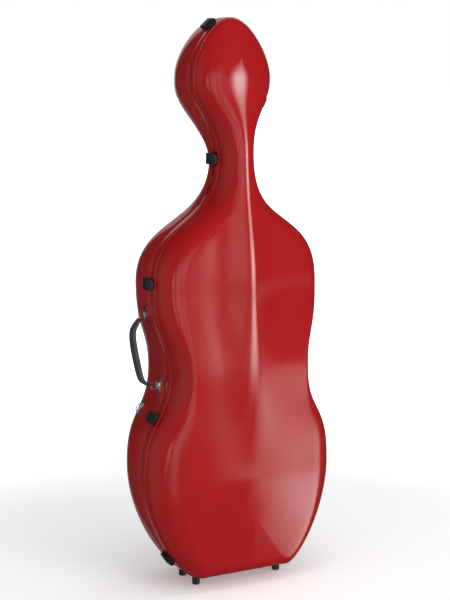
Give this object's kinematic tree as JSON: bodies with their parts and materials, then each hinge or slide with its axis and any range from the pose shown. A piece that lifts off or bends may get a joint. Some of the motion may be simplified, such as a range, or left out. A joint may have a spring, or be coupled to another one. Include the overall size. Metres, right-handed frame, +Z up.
{
  "type": "cello case",
  "caption": "Tall moulded instrument case in glossy red with a hinged lid, black lever latches, a padded side handle, strap rings, rubber feet and a cushioned inside.",
  "frame": {"origin": "on the floor, under the middle of the case's width and depth, with the case standing upright on its four feet", "axes": "+Z up towards the head of the case, -Y out of the lid towards whoever opens it, +X towards the hinges, -X towards the carry handle"},
  "size_m": [0.5068, 0.294, 1.377],
  "materials": {
    "red_lacquer": "high gloss lacquer over moulded fibre shell",
    "plush": "short plush on foam",
    "seal_rubber": "matt",
    "hinge_steel": "brushed",
    "pin_steel": "turned",
    "latch_metal": "black powder coat",
    "latch_cover": "satin moulded",
    "wire_steel": "black plated wire",
    "bright_chrome": "polished",
    "grip_leather": "padded and stitched",
    "rivet_steel": "dark plated",
    "foot_rubber": "matt",
    "cushion_velour": "velour over foam",
    "webbing": "woven tape",
    "anchor_plastic": "moulded",
    "clip_rubber": "soft moulded",
    "pocket_velour": "velour"
  },
  "bodies": {
    "case_back": {"back_shell": "red_lacquer", "back_lining": "plush", "rim_seal": "seal_rubber", "hinge_leaves_back": "hinge_steel", "hinge_pins": "pin_steel", "latch_bases": "latch_metal", "latch_pins": "pin_steel", "handle_plates": "bright_chrome", "strap_plates": "bright_chrome", "back_rivets": "rivet_steel", "back_feet": "foot_rubber", "bottom_cushion": "cushion_velour", "lower_side_cushions": "cushion_velour", "upper_side_cushions": "cushion_velour", "neck_cradle": "cushion_velour", "neck_strap": "webbing", "neck_strap_anchors": "anchor_plastic", "head_cushion": "cushion_velour"},
    "lid": {"lid_shell": "red_lacquer", "lid_lining": "plush", "hinge_leaves_lid": "hinge_steel", "latch_strikes": "latch_metal", "lid_rivets": "rivet_steel", "lid_feet": "foot_rubber", "bow_tip_pockets": "pocket_velour", "bow_clip_posts": "anchor_plastic", "accessory_pocket": "pocket_velour"},
    "handle": {"handle_rings": "bright_chrome", "handle_grip": "grip_leather"},
    "ring_left": {"strap_ring_left": "bright_chrome"},
    "ring_right": {"strap_ring_right": "bright_chrome"},
    "ring_top": {"strap_ring_top": "bright_chrome"},
    "clip_left": {"bow_clip_left": "clip_rubber"},
    "clip_right": {"bow_clip_right": "clip_rubber"},
    "lever_1": {"latch_lever_1": "latch_cover"},
    "bail_1": {"latch_bail_1": "wire_steel"},
    "lever_2": {"latch_lever_2": "latch_cover"},
    "bail_2": {"latch_bail_2": "wire_steel"},
    "lever_3": {"latch_lever_3": "latch_cover"},
    "bail_3": {"latch_bail_3": "wire_steel"},
    "lever_4": {"latch_lever_4": "latch_cover"},
    "bail_4": {"latch_bail_4": "wire_steel"},
    "lever_5": {"latch_lever_5": "latch_cover"},
    "bail_5": {"latch_bail_5": "wire_steel"},
    "lever_6": {"latch_lever_6": "latch_cover"},
    "bail_6": {"latch_bail_6": "wire_steel"},
    "lever_7": {"latch_lever_7": "latch_cover"},
    "bail_7": {"latch_bail_7": "wire_steel"}
  },
  "joints": [
    {"name": "lid_hinge", "type": "hinge", "parent": "case_back", "child": "lid", "pos_m": [0.25071, -0.011, 0.33], "axis": [-0.0774, 0, 0.997], "range_deg": [0, 110]},
    {"name": "latch_1_lever", "type": "hinge", "parent": "case_back", "child": "lever_1", "pos_m": [-0.04567, 0.009, 1.36191], "axis": [-0.7525, 0, -0.6585], "range_deg": [0, 100]},
    {"name": "latch_1_bail", "type": "hinge", "parent": "lever_1", "child": "bail_1", "pos_m": [-0.04619, -0.007, 1.36251], "axis": [-0.7525, 0, -0.6585], "range_deg": [-75, 0]},
    {"name": "latch_2_lever", "type": "hinge", "parent": "case_back", "child": "lever_2", "pos_m": [-0.04341, 0.009, 1.04422], "axis": [-0.0427, 0, -0.9991], "range_deg": [0, 100]},
    {"name": "latch_2_bail", "type": "hinge", "parent": "lever_2", "child": "bail_2", "pos_m": [-0.04421, -0.007, 1.04426], "axis": [-0.0427, 0, -0.9991], "range_deg": [-75, 0]},
    {"name": "latch_3_lever", "type": "hinge", "parent": "case_back", "child": "lever_3", "pos_m": [-0.21679, 0.009, 0.75521], "axis": [-0.0408, 0, -0.9992], "range_deg": [0, 100]},
    {"name": "latch_3_bail", "type": "hinge", "parent": "lever_3", "child": "bail_3", "pos_m": [-0.21759, -0.007, 0.75525], "axis": [-0.0408, 0, -0.9992], "range_deg": [-75, 0]},
    {"name": "latch_4_lever", "type": "hinge", "parent": "case_back", "child": "lever_4", "pos_m": [-0.21442, 0.009, 0.42969], "axis": [-0.5167, 0, -0.8562], "range_deg": [0, 100]},
    {"name": "latch_4_bail", "type": "hinge", "parent": "lever_4", "child": "bail_4", "pos_m": [-0.21511, -0.007, 0.4301], "axis": [-0.5167, 0, -0.8562], "range_deg": [-75, 0]},
    {"name": "latch_5_lever", "type": "hinge", "parent": "case_back", "child": "lever_5", "pos_m": [-0.17991, 0.009, 0.07104], "axis": [0.5685, 0, -0.8227], "range_deg": [0, 100]},
    {"name": "latch_5_bail", "type": "hinge", "parent": "lever_5", "child": "bail_5", "pos_m": [-0.18057, -0.007, 0.07059], "axis": [0.5685, 0, -0.8227], "range_deg": [-75, 0]},
    {"name": "latch_6_lever", "type": "hinge", "parent": "case_back", "child": "lever_6", "pos_m": [0.0892, 0.009, 1.17464], "axis": [0.4532, 0, 0.8914], "range_deg": [0, 100]},
    {"name": "latch_6_bail", "type": "hinge", "parent": "lever_6", "child": "bail_6", "pos_m": [0.08991, -0.007, 1.17428], "axis": [0.4532, 0, 0.8914], "range_deg": [-75, 0]},
    {"name": "latch_7_lever", "type": "hinge", "parent": "case_back", "child": "lever_7", "pos_m": [0.16537, 0.009, 0.05171], "axis": [0.6335, 0, 0.7738], "range_deg": [0, 100]},
    {"name": "latch_7_bail", "type": "hinge", "parent": "lever_7", "child": "bail_7", "pos_m": [0.16599, -0.007, 0.0512], "axis": [0.6335, 0, 0.7738], "range_deg": [-75, 0]},
    {"name": "handle_swing", "type": "hinge", "parent": "case_back", "child": "handle", "pos_m": [-0.18416, 0.024, 0.501], "axis": [-0.1622, 0, 0.9868], "range_deg": [-70, 62]},
    {"name": "strap_ring_left_swing", "type": "hinge", "parent": "case_back", "child": "ring_left", "pos_m": [-0.20711, 0.08, 0.43482], "axis": [-0.5152, 0, -0.8571], "range_deg": [-124, 0]},
    {"name": "strap_ring_right_swing", "type": "hinge", "parent": "case_back", "child": "ring_right", "pos_m": [0.20711, 0.08, 0.43482], "axis": [-0.5152, 0, 0.8571], "range_deg": [-124, 0]},
    {"name": "strap_ring_top_swing", "type": "hinge", "parent": "case_back", "child": "ring_top", "pos_m": [0, 0.11077, 0.8367], "axis": [1, 0, 0], "range_deg": [0, 150]},
    {"name": "bow_clip_left_turn", "type": "hinge", "parent": "lid", "child": "clip_left", "pos_m": [-0.098, -0.091, 0.225], "axis": [0, -1, 0], "range_deg": [-90, 0]},
    {"name": "bow_clip_right_turn", "type": "hinge", "parent": "lid", "child": "clip_right", "pos_m": [0.098, -0.091, 0.225], "axis": [0, -1, 0], "range_deg": [0, 90]}
  ],
  "couplings": [
    {"joint": "latch_1_bail", "follows": "latch_1_lever", "ratio": -0.75},
    {"joint": "latch_2_bail", "follows": "latch_2_lever", "ratio": -0.75},
    {"joint": "latch_3_bail", "follows": "latch_3_lever", "ratio": -0.75},
    {"joint": "latch_4_bail", "follows": "latch_4_lever", "ratio": -0.75},
    {"joint": "latch_5_bail", "follows": "latch_5_lever", "ratio": -0.75},
    {"joint": "latch_6_bail", "follows": "latch_6_lever", "ratio": -0.75},
    {"joint": "latch_7_bail", "follows": "latch_7_lever", "ratio": -0.75}
  ]
}
